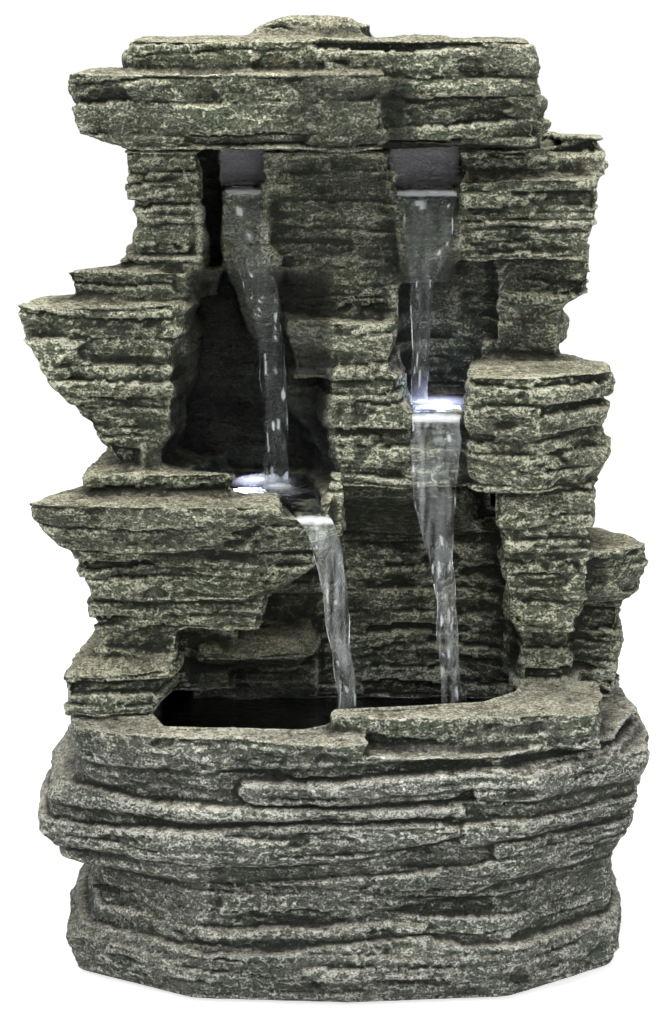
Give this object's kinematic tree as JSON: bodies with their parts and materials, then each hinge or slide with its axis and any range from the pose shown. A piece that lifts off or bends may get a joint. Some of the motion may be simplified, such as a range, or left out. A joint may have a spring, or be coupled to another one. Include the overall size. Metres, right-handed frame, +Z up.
{
  "type": "tabletop water fountain",
  "caption": "Slate-look cascading tabletop fountain with a basin, lit middle pools, top outlets, a submersible pump and a pull-out rear door.",
  "frame": {"origin": "middle of the footprint, on the surface that the feet stand on", "axes": "+Z up, -Y towards the viewer (the front with the falls), +X to the viewer's right"},
  "size_m": [0.27, 0.2, 0.4],
  "materials": {
    "stone_resin": "weathered stone paint, dry-brushed",
    "black_rubber": "matte",
    "lead_sheath": "satin",
    "pump_plastic": "fine moulded texture",
    "white_plastic": "moulded",
    "ferrite": "ground",
    "ceramic": "polished",
    "laminated_steel": "stacked laminations",
    "copper_winding": "enamelled wire",
    "clear_hose": "translucent vinyl",
    "grey_fitting": "moulded",
    "light_housing": "moulded",
    "circuit_board": "solder mask",
    "light_lens": "frosted",
    "box_plastic": "moulded",
    "plated_steel": "nickel plated",
    "water": "clear, moving"
  },
  "bodies": {
    "fountain": {"base_casting": "stone_resin", "base_feet": "black_rubber", "tower_casting": "stone_resin", "rear_casting": "stone_resin", "cap_casting": "stone_resin", "pump_body": "pump_plastic", "pump_suction_cups": "black_rubber", "pump_volute_cover": "pump_plastic", "pump_shaft_bushes": "black_rubber", "pump_impeller_shaft": "ceramic", "pump_stator_core": "laminated_steel", "pump_coil": "copper_winding", "pump_end_plate": "pump_plastic", "pump_cable_gland": "pump_plastic", "pump_outlet_nozzle": "grey_fitting", "riser_hose": "clear_hose", "hose_splitter": "grey_fitting", "branch_hose_left": "clear_hose", "branch_hose_right": "clear_hose", "spigot_left": "grey_fitting", "spigot_right": "grey_fitting", "led_left_housing": "light_housing", "led_left_board": "circuit_board", "led_left_lens": "light_lens", "led_left_grommet": "black_rubber", "led_left_lead": "lead_sheath", "led_right_housing": "light_housing", "led_right_board": "circuit_board", "led_right_lens": "light_lens", "led_right_grommet": "black_rubber", "led_right_lead": "lead_sheath", "lead_clip": "white_plastic", "junction_box": "box_plastic", "junction_box_lid": "box_plastic", "box_screws": "plated_steel", "pump_lead": "lead_sheath", "inlet_lead": "lead_sheath", "inlet_socket": "box_plastic", "inlet_nut": "plated_steel"},
    "service_door": {"service_door": "stone_resin"},
    "pump_intake_cover": {"pump_intake_cover": "pump_plastic"},
    "pump_flow_dial": {"pump_flow_dial": "white_plastic"},
    "pump_impeller": {"pump_impeller": "white_plastic", "pump_magnet": "ferrite"}
  },
  "joints": [
    {"name": "door_slide", "type": "slide", "parent": "fountain", "child": "service_door", "axis": [0, 1, 0], "range_m": [0, 0.06]},
    {"name": "intake_cover_slide", "type": "slide", "parent": "fountain", "child": "pump_intake_cover", "axis": [-1, 0, 0], "range_m": [0, 0.025]},
    {"name": "flow_dial_turn", "type": "hinge", "parent": "pump_intake_cover", "child": "pump_flow_dial", "pos_m": [-0.023, 0.0505, 0.05], "axis": [-1, 0, 0], "range_deg": [0, 90]},
    {"name": "impeller_spin", "type": "hinge", "parent": "fountain", "child": "pump_impeller", "pos_m": [0, 0.0505, 0.0325], "axis": [1, 0, 0], "continuous": true}
  ]
}
